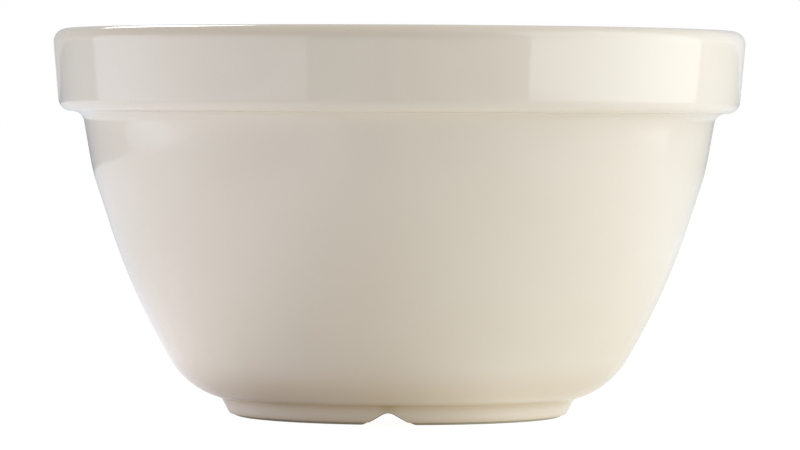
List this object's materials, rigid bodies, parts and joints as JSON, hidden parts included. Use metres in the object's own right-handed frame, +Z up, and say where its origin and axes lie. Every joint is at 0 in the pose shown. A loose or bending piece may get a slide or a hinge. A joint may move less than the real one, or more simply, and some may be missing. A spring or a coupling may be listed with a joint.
{
  "type": "pudding basin",
  "caption": "Deep stoneware pudding basin with a thick collar round the rim, a curved tapering wall and a notched foot ring, under a glossy cream glaze.",
  "frame": {"origin": "centre of the foot ring, on the plane that the sole stands on", "axes": "+Z up along the basin's axis, -Y to the front, where the picture shows a drain notch in the foot ring"},
  "size_m": [0.16, 0.16, 0.0893],
  "materials": {
    "stoneware": "bare fired clay, matt",
    "glaze": "glossy cream glaze"
  },
  "bodies": {
    "root": {"stoneware_body": "stoneware", "glaze_coat": "glaze"}
  },
  "joints": []
}
